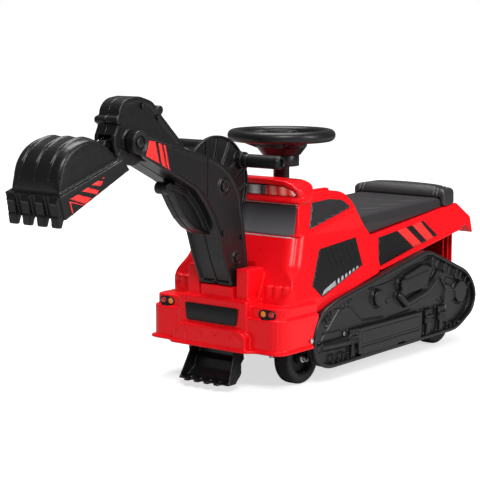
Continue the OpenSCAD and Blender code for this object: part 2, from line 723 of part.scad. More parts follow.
// ---------- bucket ----------
rim_line = [[-756, 339], [-613, 405], [-626, 422], [-766, 376]];
dome_line = rounded([[-760, 372], [-632, 413], [-634, 432], [-652, 447], [-671, 455], [-690, 459],
  [-712, 456], [-737, 445], [-755, 425], [-763, 400]], 12, 3);
module bucket() put() color(black) difference() {
  union() {
    difference() {
      union() {
        slab(-60, 60) polygon(rim_line);
        slab(-51, 51) polygon(dome_line);
        for (x = [-31, 0, 31]) intersection() {
          slab(x - 1.5, x + 1.5) polygon(inset(dome_line, -2));
          block([-40, -800, 404], [40, -660, 500]);
        }
      }
      // hollow bowl open downwards
      slab(-48, 48) polygon(inset(dome_line, wall_t));
      slab(-57, 57) polygon([[-751, 330], [-600, 400], [-608, 404], [-628, 417.5], [-758, 374],
        [-762, 372]]);
    }
    // teeth along the front lip
    for (x = [-46, -15.3, 15.3, 46]) slab(x - 8.3, x + 8.3)
      polygon([[-764, 327], [-757, 327], [-752.5, 341], [-763, 374], [-768, 374], [-770, 366]]);
    // tab and lug that run in the slot of the stick
    slab(-8, 8) polygon(rounded([[-636, 424], [-624, 407], [-596, 411.5], [-583, 416], [-582, 430],
      [-597, 449], [-612, 450], [-622, 436]], 7, 3));
  }
  xrod(-20, 20, bucket_at, 6.5 + fit);
  xrod(-20, 20, bucket_at + lug, pin_hole);
}
module bucket_pin() put() color(steel) {
  xrod(-stick_x - 1, stick_x + 1, bucket_at, bolt_r);
  both() xrod(stick_x - 1.2, stick_x + 1, bucket_at, 7);
}
module bucket_bush() put() color(steel) difference() {
  xrod(-7.8, 7.8, bucket_at, 6.5);
  xrod(-20, 20, bucket_at, bolt_hole);
}
module lug_pin() put() color(steel) xrod(-13.5, 7.8, bucket_at + lug, pin_r);

// ---------- front scoop and number plate ----------
module front_scoop() put() color(black) difference() {
  union() {
    intersection() {
      slab(-80, 80) polygon([[-365, 12], [-344, 12], [-325, 27], [-322, 44], [-313, 52], [-313, 70],
        [-338, 70]]);
      wall(-400, -200) polygon(whole([[57, 8], [48, 72]]));
    }
    block([-42, -317, 60], [42, -313, 99.8]);
    block([-42, -317, 96], [42, -298, 99.8]);
    for (x = [-36, -12, 12, 36]) block([x - 5, -369, 12], [x + 5, -362, 16]);
  }
  intersection() {
    slab(-80, 80) polygon([[-380, 15], [-345, 15], [-328, 29], [-325, 46], [-317, 54], [-317, 80],
      [-380, 80]]);
    wall(-400, -200) polygon(whole([[54, 8], [45, 82]]));
  }
  both() zrod(30, -308, 80, 120, screw_hole);
}
module number_plate() put() color(black)
  wall(-343, -341.2) polygon(rounded(whole([[56, 114], [60, 145]]), 5, 3));

front_shell();
rear_shell();
shell_hinge();
chassis();
storage_tray();
seat_lid();
backrest();
seat_hinge_pin();
steering_wheel();
horn_button();
column_sleeve();
roof_bush();
column_foot_bush();
steering_rod();
tie_rod();
knuckle_left();
knuckle_right();
king_clip_left();
king_clip_right();
wheel_front_left();
wheel_front_right();
wheel_rear_left();
wheel_rear_right();
axle_nut_front_left();
axle_nut_front_right();
axle_nuts_rear();
rear_axle();
track_left();
track_right();
track_screws();
bumper_screws();
base_screws();
boom_left();
boom_right();
boom_screws();
base_bolt();
pivot_bolts();
arm_nuts();
elbow_spacer();
lever_left();
lever_right();
grip_left();
grip_right();
grip_screw_left();
grip_screw_right();
drag_link_left();
drag_link_right();
stick_left();
stick_right();
stick_screws();
tip_sleeve();
bell_crank();
crank_bush();
bucket_link();
bucket();
bucket_pin();
bucket_bush();
lug_pin();
front_scoop();
number_plate();
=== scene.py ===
import json
import math

import bmesh
import bpy
import numpy as np
from mathutils import Matrix, Vector
from mathutils.bvhtree import BVHTree

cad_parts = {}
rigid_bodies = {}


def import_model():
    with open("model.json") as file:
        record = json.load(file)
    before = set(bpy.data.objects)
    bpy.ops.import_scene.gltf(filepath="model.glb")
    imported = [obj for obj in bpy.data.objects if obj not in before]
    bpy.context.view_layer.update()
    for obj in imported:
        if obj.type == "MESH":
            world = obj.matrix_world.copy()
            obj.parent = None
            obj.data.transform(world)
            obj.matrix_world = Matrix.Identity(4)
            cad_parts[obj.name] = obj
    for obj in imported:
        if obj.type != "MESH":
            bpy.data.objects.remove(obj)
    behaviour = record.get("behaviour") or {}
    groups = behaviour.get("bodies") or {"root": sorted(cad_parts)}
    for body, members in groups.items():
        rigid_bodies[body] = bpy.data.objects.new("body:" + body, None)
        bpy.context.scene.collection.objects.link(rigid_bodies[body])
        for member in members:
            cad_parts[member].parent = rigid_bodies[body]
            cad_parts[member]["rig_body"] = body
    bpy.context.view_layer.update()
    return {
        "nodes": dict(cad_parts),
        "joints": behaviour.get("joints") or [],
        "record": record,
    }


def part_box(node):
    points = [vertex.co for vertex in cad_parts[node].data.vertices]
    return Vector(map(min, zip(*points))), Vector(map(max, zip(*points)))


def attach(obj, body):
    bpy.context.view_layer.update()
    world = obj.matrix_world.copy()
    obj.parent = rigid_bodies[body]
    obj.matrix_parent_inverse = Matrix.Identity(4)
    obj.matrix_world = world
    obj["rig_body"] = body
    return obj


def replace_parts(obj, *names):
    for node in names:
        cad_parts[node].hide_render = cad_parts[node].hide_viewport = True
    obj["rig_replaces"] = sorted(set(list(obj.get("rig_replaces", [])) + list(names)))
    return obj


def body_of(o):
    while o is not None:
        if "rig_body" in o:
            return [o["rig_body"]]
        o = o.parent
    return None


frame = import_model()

MM = 0.001
COARSE = 1.0


# ---------- datum: ground, centre plane, midway between the axles ----------
def middle(node):
    lo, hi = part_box(node)
    return (lo + hi) / 2


MID_Y = (middle("wheel_front_left").y + middle("wheel_rear_left").y) / 2


def at(x, y, z):
    """Millimetres from the datum to metres in the row frame."""
    return Vector((x * MM, y * MM + MID_Y, z * MM))


def back_mm(v):
    return np.array([v[0] / MM, (v[1] - MID_Y) / MM, v[2] / MM])


# ---------- materials ----------
def node_material(name, base, rough, bump=0.0, grain=1500.0, metal=0.0, coat=0.0, vary=0.15,
                  edge=0.0, scuff=0.0, blotch=14.0, spec=0.5):
    mat = bpy.data.materials.new(name)
    mat.use_nodes = True
    t = mat.node_tree
    n, l = t.nodes, t.links
    p = n["Principled BSDF"]
    p.inputs["Metallic"].default_value = metal
    p.inputs["Coat Weight"].default_value = coat
    p.inputs["Coat Roughness"].default_value = 0.12
    p.inputs["Specular IOR Level"].default_value = spec
    co = n.new("ShaderNodeTexCoord")
    big = n.new("ShaderNodeTexNoise")
    big.inputs["Scale"].default_value = blotch
    big.inputs["Detail"].default_value = 5
    l.new(co.outputs["Object"], big.inputs["Vector"])
    mix = n.new("ShaderNodeMix")
    mix.data_type = "RGBA"
    mix.inputs["A"].default_value = (*[c * (1 - vary) for c in base], 1)
    mix.inputs["B"].default_value = (*[min(1, c * (1 + vary)) for c in base], 1)
    l.new(big.outputs["Fac"], mix.inputs["Factor"])
    colour = mix.outputs["Result"]
    # Painted highlight: edge sets how far convex edges, found by pointiness, are lifted to a brighter tone,
    # standing in for light caught on them.
    if edge:
        geo = n.new("ShaderNodeNewGeometry")
        ramp = n.new("ShaderNodeValToRGB")
        ramp.color_ramp.elements[0].position = 0.52
        ramp.color_ramp.elements[0].color = (0, 0, 0, 1)
        ramp.color_ramp.elements[1].position = 0.64
        ramp.color_ramp.elements[1].color = (edge, edge, edge, 1)
        l.new(geo.outputs["Pointiness"], ramp.inputs["Fac"])
        painted_edge_highlight = n.new("ShaderNodeMix")
        painted_edge_highlight.data_type = "RGBA"
        painted_edge_highlight.inputs["B"].default_value = (*[min(1, c * 2.2 + 0.02) for c in base], 1)
        l.new(ramp.outputs["Color"], painted_edge_highlight.inputs["Factor"])
        l.new(colour, painted_edge_highlight.inputs["A"])
        colour = painted_edge_highlight.outputs["Result"]
    l.new(colour, p.inputs["Base Color"])
    fine = n.new("ShaderNodeTexNoise")
    fine.inputs["Scale"].default_value = 90
    fine.inputs["Detail"].default_value = 8
    l.new(co.outputs["Object"], fine.inputs["Vector"])
    rr = n.new("ShaderNodeMapRange")
    rr.inputs["To Min"].default_value = max(0.02, rough - 0.06 - scuff)
    rr.inputs["To Max"].default_value = min(1, rough + 0.06 + scuff)
    l.new(fine.outputs["Fac"], rr.inputs["Value"])
    l.new(rr.outputs["Result"], p.inputs["Roughness"])
    if bump:
        tex = n.new("ShaderNodeTexNoise")
        tex.inputs["Scale"].default_value = grain
        tex.inputs["Detail"].default_value = 2
        l.new(co.outputs["Object"], tex.inputs["Vector"])
        b = n.new("ShaderNodeBump")
        b.inputs["Strength"].default_value = bump
        b.inputs["Distance"].default_value = 0.0004
        l.new(tex.outputs["Fac"], b.inputs["Height"])
        l.new(b.outputs["Normal"], p.inputs["Normal"])
    return mat


RED = node_material("red_gloss_plastic", (0.86, 0.0035, 0.009), 0.30, bump=0.015, grain=420, coat=0.05,
                    vary=0.03, scuff=0.02, spec=0.20)
# edge= in these materials paints a highlight on convex edges.
BLACK = node_material("black_satin_plastic", (0.0075, 0.0068, 0.0075), 0.34, bump=0.10, grain=2600,
                      vary=0.15, edge=0.10, scuff=0.04, spec=0.36)
GRIP = node_material("black_grip_plastic", (0.0075, 0.007, 0.0075), 0.36, bump=0.10, grain=1900,
                     vary=0.12, edge=0.08, scuff=0.04, spec=0.36)
SEAT = node_material("seat_satin_plastic", (0.020, 0.018, 0.020), 0.42, bump=0.22, grain=1500,
                     vary=0.12, edge=0.12, scuff=0.05, spec=0.60)
TYRE = node_material("wheel_plastic", (0.014, 0.013, 0.014), 0.48, bump=0.2, grain=900,
                     vary=0.2, edge=0.10, scuff=0.06, spec=0.30)
STEEL = node_material("zinc_plated_steel", (0.72, 0.73, 0.75), 0.28, bump=0.15, grain=700,
                      metal=1.0, vary=0.12, scuff=0.08)
FILM = node_material("black_film", (0.0085, 0.008, 0.009), 0.38, bump=0.03, grain=300, vary=0.15, spec=0.28)
GLASSY = node_material("window_film", (0.024, 0.022, 0.024), 0.22, bump=0.02, grain=120, vary=0.35,
                       blotch=9, coat=0.25)
STRIPE = node_material("red_film", (0.86, 0.030, 0.028), 0.34, bump=0.04, grain=500, vary=0.04)
SILVER = node_material("silver_film", (0.50, 0.50, 0.53), 0.32, bump=0.1, grain=600, metal=0.35,
                       vary=0.25, blotch=60)
AMBER = node_material("amber_lens", (0.95, 0.24, 0.015), 0.12, bump=0.1, grain=260, coat=0.6, vary=0.2,
                      blotch=120)
RUBY = node_material("red_lens", (0.55, 0.012, 0.012), 0.12, bump=0.1, grain=260, coat=0.6, vary=0.2,
                     blotch=120)


def shaded_film(name, low, high, axis, start, stop, rough=0.22, bands=0.0):
    """Film whose tone runs along one axis of the object, like a printed reflection."""
    mat = node_material(name, low, rough, bump=0.04, grain=150, coat=0.2)
    t = mat.node_tree
    n, l = t.nodes, t.links
    co = n.new("ShaderNodeTexCoord")
    sep = n.new("ShaderNodeSeparateXYZ")
    l.new(co.outputs["Object"], sep.inputs["Vector"])
    rng = n.new("ShaderNodeMapRange")
    rng.inputs["From Min"].default_value = start
    rng.inputs["From Max"].default_value = stop
    l.new(sep.outputs[axis], rng.inputs["Value"])
    value = rng.outputs["Result"]
    if bands:
        wave = n.new("ShaderNodeTexWave")
        wave.bands_direction = axis
        wave.inputs["Scale"].default_value = bands
        wave.inputs["Distortion"].default_value = 2.5
        wave.inputs["Detail"].default_value = 3
        l.new(co.outputs["Object"], wave.inputs["Vector"])
        mul = n.new("ShaderNodeMath")
        mul.operation = "MULTIPLY"
        l.new(value, mul.inputs[0])
        l.new(wave.outputs["Fac"], mul.inputs[1])
        value = mul.outputs["Value"]
    mix = n.new("ShaderNodeMix")
    mix.data_type = "RGBA"
    mix.inputs["A"].default_value = (*low, 1)
    mix.inputs["B"].default_value = (*high, 1)
    l.new(value, mix.inputs["Factor"])
    l.new(mix.outputs["Result"], n["Principled BSDF"].inputs["Base Color"])
    return mat


# ---------- mesh helpers ----------
def new_object(name, me, mat, body):
    ob = bpy.data.objects.new(name, me)
    bpy.context.scene.collection.objects.link(ob)
    me.materials.clear()
    me.materials.append(mat)
    me.polygons.foreach_set("use_smooth", [True] * len(me.polygons))
    me.update()
    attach(ob, body)
    return ob


def add_faces(bm, verts, faces):
    vs = [bm.verts.new(v) for v in verts]
    for f in faces:
        bm.faces.new([vs[i] for i in f])
    return vs


def add_prism(bm, outline, a, b, axis="x"):
    """Closed prism of a 2D outline in mm: (y, z) along x, (x, z) along y or (x, y) along z."""
    put = {"x": lambda p, t: at(t, p[0], p[1]), "y": lambda p, t: at(p[0], t, p[1]),
           "z": lambda p, t: at(p[0], p[1], t)}[axis]
    k = len(outline)
    verts = [put(p, a) for p in outline] + [put(p, b) for p in outline]
    faces = [list(range(k))[::-1], list(range(k, 2 * k))]
    faces += [[i, (i + 1) % k, k + (i + 1) % k, k + i] for i in range(k)]
    add_faces(bm, verts, faces)


def add_box(bm, lo, hi):
    add_prism(bm, [(lo[1], lo[2]), (hi[1], lo[2]), (hi[1], hi[2]), (lo[1], hi[2])], lo[0], hi[0])


def add_rod(bm, p, q, r, seg=20, r2=None):
    """Capped rod between two points given in mm, tapering to r2 if that is stated."""
    a, b = at(*p), at(*q)
    d = (b - a).normalized()
    u = d.orthogonal().normalized()
    w = d.cross(u)
    r2 = r if r2 is None else r2
    ring = [(math.cos(2 * math.pi * i / seg), math.sin(2 * math.pi * i / seg)) for i in range(seg)]
    verts = [a + (u * c + w * s) * r * MM for c, s in ring] + [b + (u * c + w * s) * r2 * MM for c, s in ring]
    faces = [list(range(seg))[::-1], list(range(seg, 2 * seg))]
    faces += [[i, (i + 1) % seg, seg + (i + 1) % seg, seg + i] for i in range(seg)]
    add_faces(bm, verts, faces)


def add_ball(bm, p, r, sx=1.0, sy=1.0, sz=1.0):
    m = Matrix.Translation(at(*p)) @ Matrix.Diagonal((sx, sy, sz, 1))
    bmesh.ops.create_icosphere(bm, subdivisions=2, radius=r * MM, matrix=m)


def add_bead(bm, pts, r):
    """Round bead through points in mm, with round ends."""
    for p, q in zip(pts, pts[1:]):
        add_rod(bm, p, q, r, 12)
    for p in pts:
        add_ball(bm, p, r * 1.02)


def add_ring(bm, x, c, radius, r, seg=40):
    """Ring round an X axis through c = (y, z)."""
    turns = [2 * math.pi * i / seg for i in range(seg + 1)]
    pts = [(x, c[0] + radius * math.cos(t), c[1] + radius * math.sin(t)) for t in turns]
    for p, q in zip(pts, pts[1:]):
        add_rod(bm, p, q, r, 10)


def seg_dist(pts, a, b):
    """Distance of 2D points from the segment a-b."""
    a, b = np.asarray(a, float), np.asarray(b, float)
    d = b - a
    t = np.clip(((pts - a) @ d) / max(d @ d, 1e-9), 0, 1)
    return np.linalg.norm(pts - (a + t[:, None] * d), axis=1)


def line_dist(pts, poly, closed=False):
    ends = list(zip(poly, poly[1:])) + ([(poly[-1], poly[0])] if closed else [])
    return np.min([seg_dist(pts, a, b) for a, b in ends], axis=0)


def inside(pts, poly):
    """Whether 2D points lie inside a closed outline."""
    hit = np.zeros(len(pts), bool)
    for (x0, y0), (x1, y1) in zip(poly, poly[1:] + poly[:1]):
        cross = (y0 > pts[:, 1]) != (y1 > pts[:, 1])
        xi = (x1 - x0) * (pts[:, 1] - y0) / ((y1 - y0) or 1e-9) + x0
        hit ^= cross & (pts[:, 0] < xi)
    return hit


def groove(dist, width, depth):
    return depth * np.clip(1 - (dist / width) ** 2, 0, 1)


def step(value, soft):
    """0 below 0, 1 above soft, smooth between."""
    t = np.clip(value / soft, 0, 1)
    return t * t * (3 - 2 * t)


def points_of(me):
    co = np.empty(len(me.vertices) * 3, np.float32)
    me.vertices.foreach_get("co", co)
    return co.reshape(-1, 3).astype(float)


def put_points(me, co):
    me.vertices.foreach_set("co", co.astype(np.float32).ravel())
    me.update()


def mould(nodes, mat, voxel, smooth=5, extra=None, carve=None, name=None, bend=None):
    """A moulded skin over CAD nodes: their solids with added beads, blended and edge-rounded, drawn
    in by bend(mm points), then pressed in by carve(mm points, normals), which returns depths in mm."""
    name = name or nodes[0] + "_skin"
    bm = bmesh.new()
    for n in nodes:
        bm.from_mesh(frame["nodes"][n].data)
    if extra:
        extra(bm)
    me = bpy.data.meshes.new(name)
    bm.to_mesh(me)
    bm.free()
    tmp = bpy.data.objects.new(name + "_raw", me)
    bpy.context.scene.collection.objects.link(tmp)
    r = tmp.modifiers.new("blend", "REMESH")
    r.mode = "VOXEL"
    r.voxel_size = voxel * MM * COARSE
    s = tmp.modifiers.new("round", "SMOOTH")
    s.factor = 0.5
    s.iterations = smooth
    dg = bpy.context.evaluated_depsgraph_get()
    out = bpy.data.meshes.new_from_object(tmp.evaluated_get(dg), depsgraph=dg)
    bpy.data.objects.remove(tmp)
    bpy.data.meshes.remove(me)
    out.name = name
    if bend:
        mm = points_of(out) / MM
        mm[:, 1] -= MID_Y / MM
        mm = bend(mm)
        mm[:, 1] += MID_Y / MM
        put_points(out, mm * MM)
    if carve:
        co = points_of(out)
        no = np.empty(co.size, np.float32)
        out.vertex_normals.foreach_get("vector", no)
        no = no.reshape(-1, 3).astype(float)
        mm = co / MM
        mm[:, 1] = (co[:, 1] - MID_Y) / MM
        co -= no * carve(mm, no)[:, None] * MM
        put_points(out, co)
    body = body_of(frame["nodes"][nodes[0]])[0]
    ob = new_object(name, out, mat, body)
    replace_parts(ob, *nodes)
    return ob


# surface trees of the skins by name, and where the rays that lay films start, in mm
TREES = {}
FAR_X, FAR_Y = 400, 900


def tree(ob):
    if ob.name not in TREES:
        bm = bmesh.new()
        bm.from_mesh(ob.data)
        TREES[ob.name] = BVHTree.FromBMesh(bm)
        bm.free()
    return TREES[ob.name]


def film(name, outline, facing, ob, mat, body, lift=0.5, cell=5.0, thick=0.35):
    """A printed film cut to a 2D outline in mm, laid on a skin from the side it faces and given a
    thickness. facing is +x, -x (outline in y, z) or -y (outline in x, z)."""
    sign = 1 if facing[0] == "+" else -1
    bm = bmesh.new()
    flat = [bm.verts.new((p[0], p[1], 0)) for p in outline]
    bm.faces.new(flat)
    for k in (0, 1):
        lo, hi = min(p[k] for p in outline), max(p[k] for p in outline)
        count = int((hi - lo) / cell)
        for i in range(1, count + 1):
            c = [0, 0, 0]
            c[k] = lo + (hi - lo) * i / (count + 1)
            nrm = [0, 0, 0]
            nrm[k] = 1
            bmesh.ops.bisect_plane(bm, geom=bm.verts[:] + bm.edges[:] + bm.faces[:], plane_co=c, plane_no=nrm)
    bmesh.ops.triangulate(bm, faces=[f for f in bm.faces if len(f.verts) > 4])
    bvh = tree(ob)
    lost = []
    for v in bm.verts:
        a, b = v.co.x, v.co.y
        if facing[1] == "x":
            o, d = at(sign * FAR_X, a, b), Vector((-sign, 0, 0))
        else:
            o, d = at(a, sign * FAR_Y, b), Vector((0, -sign, 0))
        hit, nrm, _, _ = bvh.ray_cast(o, d)
        if hit is None:
            lost.append(v)
            v.co = (0, 0, 0)
            continue
        if nrm.dot(d) > 0:
            nrm = -nrm
        v.co = hit + nrm * lift * MM
    if lost:
        bmesh.ops.delete(bm, geom=lost, context="VERTS")
    bmesh.ops.recalc_face_normals(bm, faces=bm.faces[:])
    axis = "xyz".index(facing[1])
    if sum(f.normal[axis] for f in bm.faces) * sign < 0:
        bmesh.ops.reverse_faces(bm, faces=bm.faces[:])
    me = bpy.data.meshes.new(name)
    bm.to_mesh(me)
    bm.free()
    piece = new_object(name, me, mat, body)
    s = piece.modifiers.new("thickness", "SOLIDIFY")
    s.thickness = thick * MM
    s.offset = -1
    return piece


def rounded(pts, r, n=4):
    out = []
    k = len(pts)
    for i in range(k):
        p, a, b = (np.array(pts[j], float) for j in (i, i - 1, (i + 1) % k))
        u, v = a - p, b - p
        c = min(r, 0.45 * np.linalg.norm(u), 0.45 * np.linalg.norm(v))
        s, e = p + u / np.linalg.norm(u) * c, p + v / np.linalg.norm(v) * c
        for t in np.linspace(0, 1, n + 1):
            out.append(tuple((1 - t) ** 2 * s + 2 * t * (1 - t) * p + t * t * e))
    return out


def flip(pts):
    """The same outline on the other side of the vehicle, for films facing -y."""
    return [(-p[0], p[1]) for p in pts][::-1]


# ---------- body shells ----------
def lay_bead(bm, bvh, line, r, sink=0.0):
    """Bead through points given in x and z, laid on the face towards -y."""
    pts = []
    for x, z in line:
        hit = bvh.ray_cast(at(x, -FAR_Y, z), Vector((0, 1, 0)))[0]
        if hit is not None:
            pts.append((x, back_mm(hit)[1] + sink, z))
    add_bead(bm, pts, r)


def shell_extra(bm):
    front = BVHTree.FromBMesh(bm)
    for side in (-1, 1):
        # three upright flutes at each front corner of the hood
        for x, y in ((86, -297), (104, -297), (121, -293)):
            ridge = rounded([(x - 5.5, y + 12), (x - 5.5, y + 1), (x + 5.5, y + 1), (x + 5.5, y + 12)], 4)
            add_prism(bm, [(side * px, py) for px, py in ridge], 152, 182, "z")
        base = [(78, -292), (110, -292), (127, -286), (127, -275), (78, -275)]
        add_prism(bm, [(side * px, py) for px, py in base], 152, 180, "z")
        # bead over the crawler track and along the ledge of the bumper
        add_bead(bm, [(side * 135.5, -226, 112), (side * 135.5, -205, 134), (side * 135.5, -182, 143),
                      (side * 135, -114, 157), (side * 134, -24, 176)], 2.6)
    # ribs on the lower lip
    for x in (-50, -17, 17, 50):
        add_box(bm, (x - 1.4, -353.5, 76), (x + 1.4, -340, 95))
    # brow over the roof lights and rolled ledge between them and the windscreen
    arch = [(110, 334), (107, 343), (98, 351), (84, 356), (42, 358), (0, 358)]
    brow = arch + [(-x, z) for x, z in arch[-2::-1]]
    lay_bead(bm, front, brow, 3.8, 0.4)
    lay_bead(bm, front, [(x, 324.5) for x in (-113, -108, -100, -60, 0, 60, 100, 108, 113)], 4.0, 0.2)


def shell_carve(p, n):
    depth = np.zeros(len(p))
    # shallow pocket of the windscreen
    screen = [(-110, 261), (110, 261), (108, 319), (-108, 319)]
    m = (n[:, 1] < -0.6) & (p[:, 2] > 255) & (p[:, 2] < 322)
    d = line_dist(p[:, [0, 2]], screen, True)
    depth[m] += (0.9 * step(d, 2.0) * inside(p[:, [0, 2]], screen))[m]
    # pocket of the lamp print
    box = [(-107, 331), (107, 331), (104, 341), (95, 347), (80, 352), (-80, 352), (-95, 347), (-104, 341)]
    m = (n[:, 1] < -0.5) & (p[:, 2] > 329) & (p[:, 2] < 354)
    d = line_dist(p[:, [0, 2]], box, True)
    depth[m] += (0.8 * step(d, 1.6) * inside(p[:, [0, 2]], box))[m]
    # raised panel of the lower lip
    panel = [(-73, 97), (-53, 110), (53, 110), (73, 97), (73, 74), (-73, 74)]
    m = (n[:, 1] < -0.6) & (p[:, 1] < -325) & (p[:, 2] > 74) & (p[:, 2] < 128)
    depth[m] += groove(line_dist(p[:, [0, 2]], panel[:4]), 1.8, 1.1)[m]
    return depth


def shell_bend(p):
    """Round the front corners of the hood below the windscreen in plan, as broad as the cab's."""
    ax, y, z = np.abs(p[:, 0]), p[:, 1], p[:, 2]
    up = np.clip((z - 156) / 106, 0, 1)
    r = np.maximum(28 * step(z - 184, 34), 0.01)
    cx, cy = 137 - 20 * up - r, -297 + 47 * up + r
    a, b = (ax - cx) / r, (cy - y) / r
    hood = (z > 184) & (z < 262.6 + 6 * np.clip((y + 250) / 38, 0, 1)) & (a > 0) & (b > 0) & (ax > 70)
    scale = np.where(hood, np.maximum(a, b) / np.maximum(np.hypot(a, b), 1e-6), 1)
    q = p.copy()
    q[:, 0] = np.where(hood, np.sign(p[:, 0]) * (cx + a * r * scale), p[:, 0])
    q[:, 1] = np.where(hood, cy - b * r * scale, y)
    return q


front = mould(["front_shell"], RED, 1.35, 8, shell_extra, shell_carve, "front_body",
              shell_bend)


def rear_extra(bm):
    for side in (-1, 1):
        # bead along the lower edge of the fender and ribs on the narrow tail body
        add_bead(bm, [(side * 128.5, -2, 178.5), (side * 121, 296, 223.5)], 1.8)
        for y in (262, 280):
            add_box(bm, (side * 100 - 1.5, y - 1.5, 120), (side * 100 + 1.5, y + 1.5, 214))


rear = mould(["rear_shell"], RED, 1.5, 7, rear_extra, None, "rear_body")


# ---------- seat ----------
def joint_at(name):
    j = [q for q in frame["joints"] if q["name"] == name][0]
    return back_mm(j["pos_m"])[1:]


SEAT_PIN = joint_at("seat_lift")


def seat_carve(p, n):
    depth = np.zeros(len(p))
    up = n[:, 2] > 0.8
    xy = p[:, :2].copy()
    xy[:, 0] = np.abs(xy[:, 0])
    for y in (52, 112, 172):
        d = line_dist(xy, [(0, y), (48, y), (74, y + 26)])
        depth[up] += groove(d, 2.4, 1.5)[up]
    d = line_dist(xy, [(0, 20), (50, 20), (80, 38), (80, 222), (60, 232), (0, 232)])
    depth[up] += groove(d, 2.0, 0.9)[up]
    d = np.abs(xy[:, 0] - 94)
    depth[up] += groove(d, 2.8, 1.7)[up]
    # clearance round the hinge, so that the lid opens freely
    hinge = np.hypot(p[:, 1] - SEAT_PIN[0], p[:, 2] - SEAT_PIN[1])
    return np.where((hinge < 16) & (np.abs(p[:, 0]) < 68), np.maximum(depth, 0.9), depth)


mould(["seat_lid"], SEAT, 1.5, 26, None, seat_carve, "seat_cover")


def backrest_carve(p, n):
    depth = np.zeros(len(p))
    outer = (n[:, 1] < 0.3) | (n[:, 2] > 0.4)
    for x in (84, 92):
        depth[outer] += groove(np.abs(np.abs(p[:, 0]) - x), 2.2, 2.0)[outer]
    return depth


mould(["backrest"], SEAT, 1.4, 9, None, backrest_carve, "backrest_cover")


# ---------- steering wheel ----------
WHEEL = middle("column_sleeve")
COL_Y = (WHEEL.y - MID_Y) / MM
RIM_TUBE_R = 10.8
RIM_Z = (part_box("steering_wheel")[1].z / MM) - RIM_TUBE_R


def wheel_extra(bm):
    for a in (90, 210, 330):
        c, s = math.cos(math.radians(a)), math.sin(math.radians(a))
        def spoke(r, z, w):
            return (r * c - w * s, COL_Y + r * s + w * c, z)
        for w in (-9, -3, 3, 9):
            add_rod(bm, spoke(36, RIM_Z - 20, w), spoke(84, RIM_Z - 4, w * 1.3), 6, 12, 4.5)


mould(["steering_wheel"], GRIP, 1.3, 5, wheel_extra, None, "steering_wheel_rim")


# ---------- arm ----------
def side_panel(outline, face_x, border, depth):
    """Recess of a side face inside its border."""
    def carve(p, n):
        yz = p[:, 1:]
        flat = (np.abs(np.abs(p[:, 0]) - face_x) < 1.2) & (np.abs(n[:, 0]) > 0.75)
        d = line_dist(yz, outline, True)
        dep = depth * step(d - border, 1.8) * inside(yz, outline)
        return np.where(flat, dep, 0)
    return carve


ELBOW = joint_at("left_lever_swing")
TIP = joint_at("stick_swing")
BOOM_LINE = [(-560, 424.5), (-500, 394), (-453, 371), (-420, 354), (-394, 327), (-378, 305),
             (-362, 276), (-346, 229), (-323, 180), (-283, 182), (-285, 223), (-293, 280), (-302, 315),
             (-304, 337), (-316, 357), (-329, 374), (-349, 391), (-372, 403), (-399, 412), (-453, 428),
             (-502, 444), (-556, 461.5)]
STICK_LINE = [(-572, 406), (-556, 406), (-546, 412), (-528, 424), (-470, 408), (-440, 410),
              (-434, 428), (-494, 484), (-515, 507), (-549, 517), (-580, 513), (-595, 499), (-598, 473),
              (-607, 456), (-608, 440), (-596, 416)]


def boom_extra(side):
    def extra(bm):
        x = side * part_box("boom_left")[1].x / MM
        face = side * 36
        add_ring(bm, face, ELBOW, 11.5, 1.8)
        add_ring(bm, face + side * 3.6, TIP, 17.5, 1.9)
        add_ring(bm, face, (-315, 228), 10.5, 1.6)
        # rounded bottom corner running along the underside
        add_bead(bm, [(side * 33.5, -548, 421.5), (side * 33.5, -500, 397.5), (side * 33.5, -453, 374.5),
                      (side * 33.5, -421, 357), (side * 33.5, -396, 329.5), (side * 33.5, -380, 306),
                      (side * 33.5, -364, 276), (side * 33.5, -348, 229), (side * 33.5, -327, 184)], 3.6)
        # stepped toe
        add_box(bm, (min(side * 4, side * 37), -330, 181), (max(side * 4, side * 37), -318, 187))
        # rim of the web under the elbow
        web = [(-468, 352), (-458, 351), (-442, 326), (-427, 306), (-407, 288), (-384, 277), (-364, 275)]
        add_bead(bm, [(side * 12.5, y + 2, z + 2) for y, z in web], 2.4)
    return extra


def boom_carve(p, n):
    dep = side_panel(BOOM_LINE, 36, 5.0, 0.9)(p, n)
    for c, r in ((ELBOW, 15), (TIP, 24), ((-315, 228), 13)):
        dep[np.hypot(p[:, 1] - c[0], p[:, 2] - c[1]) < r] = 0
    return dep


booms = {}
for side, word in ((1, "left"), (-1, "right")):
    booms[side] = mould(["boom_" + word], BLACK, 1.25, 5, boom_extra(side), boom_carve)


def stick_extra(side):
    def extra(bm):
        add_bead(bm, [(side * 19.5, -594, 418), (side * 19.5, -606, 440), (side * 19.5, -605, 456)], 2.6)
        add_rod(bm, (side * 2, -598, 480), (side * 25, -598, 480), 6.6)
        add_rod(bm, (side * 2, -499, 492), (side * 24, -499, 492), 7.4)
    return extra


def stick_carve(p, n):
    dep = side_panel(STICK_LINE, 22, 8.0, 1.3)(p, n)
    dep[(np.hypot(p[:, 1] - TIP[0], p[:, 2] - TIP[1]) < 22) | (p[:, 2] < 436)] *= 0
    # raised seam where the halves meet
    top = (np.abs(p[:, 0]) < 2.2) & (np.abs(n[:, 0]) < 0.6)
    dep += np.where(top, 0.8 * np.clip(1 - np.abs(p[:, 0]) / 2.2, 0, 1), 0)
    return dep


for side, word in ((1, "left"), (-1, "right")):
    mould(["stick_" + word], BLACK, 1.2, 5, stick_extra(side), stick_carve)


